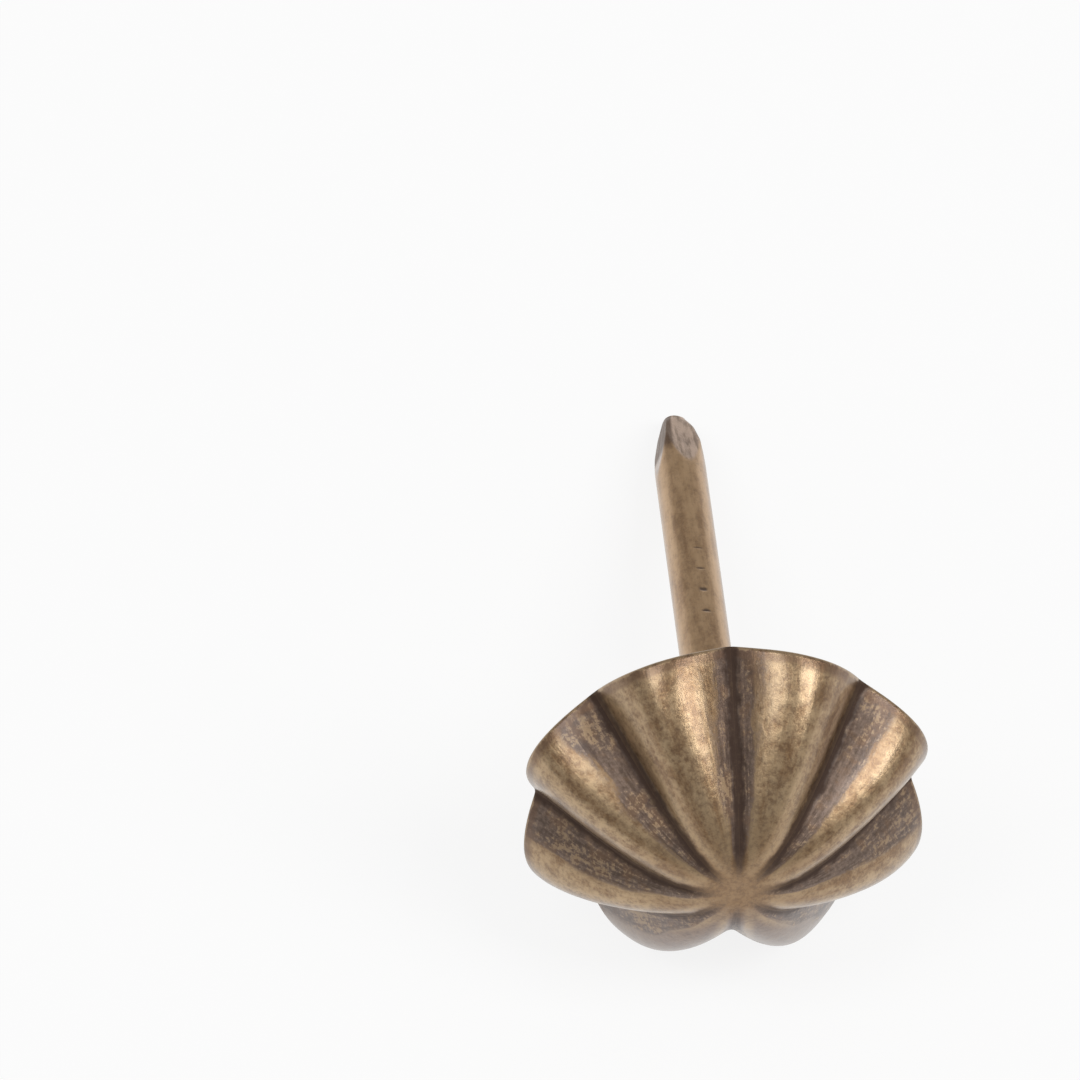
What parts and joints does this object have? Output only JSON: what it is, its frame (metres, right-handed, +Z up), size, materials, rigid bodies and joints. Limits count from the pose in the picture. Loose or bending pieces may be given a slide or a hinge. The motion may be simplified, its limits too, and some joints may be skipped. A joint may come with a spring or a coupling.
{
  "type": "upholstery tack",
  "caption": "Decorative upholstery tack: a domed head pressed into radiating flutes, carried on a round wire shank with a blunt pinched point.",
  "frame": {"origin": "middle of the bounding box's base, on the surface that the tack lies on", "axes": "+Z up from that surface, +Y from the crown towards the point, +X across the tack, to the right of someone facing the crown"},
  "size_m": [0.0104, 0.017, 0.0099],
  "materials": {
    "cap_brass": "antiqued satin, dark patina in the grooves",
    "wire_brass": "antiqued satin"
  },
  "bodies": {
    "root": {"head_cap": "cap_brass", "nail": "wire_brass"}
  },
  "joints": []
}
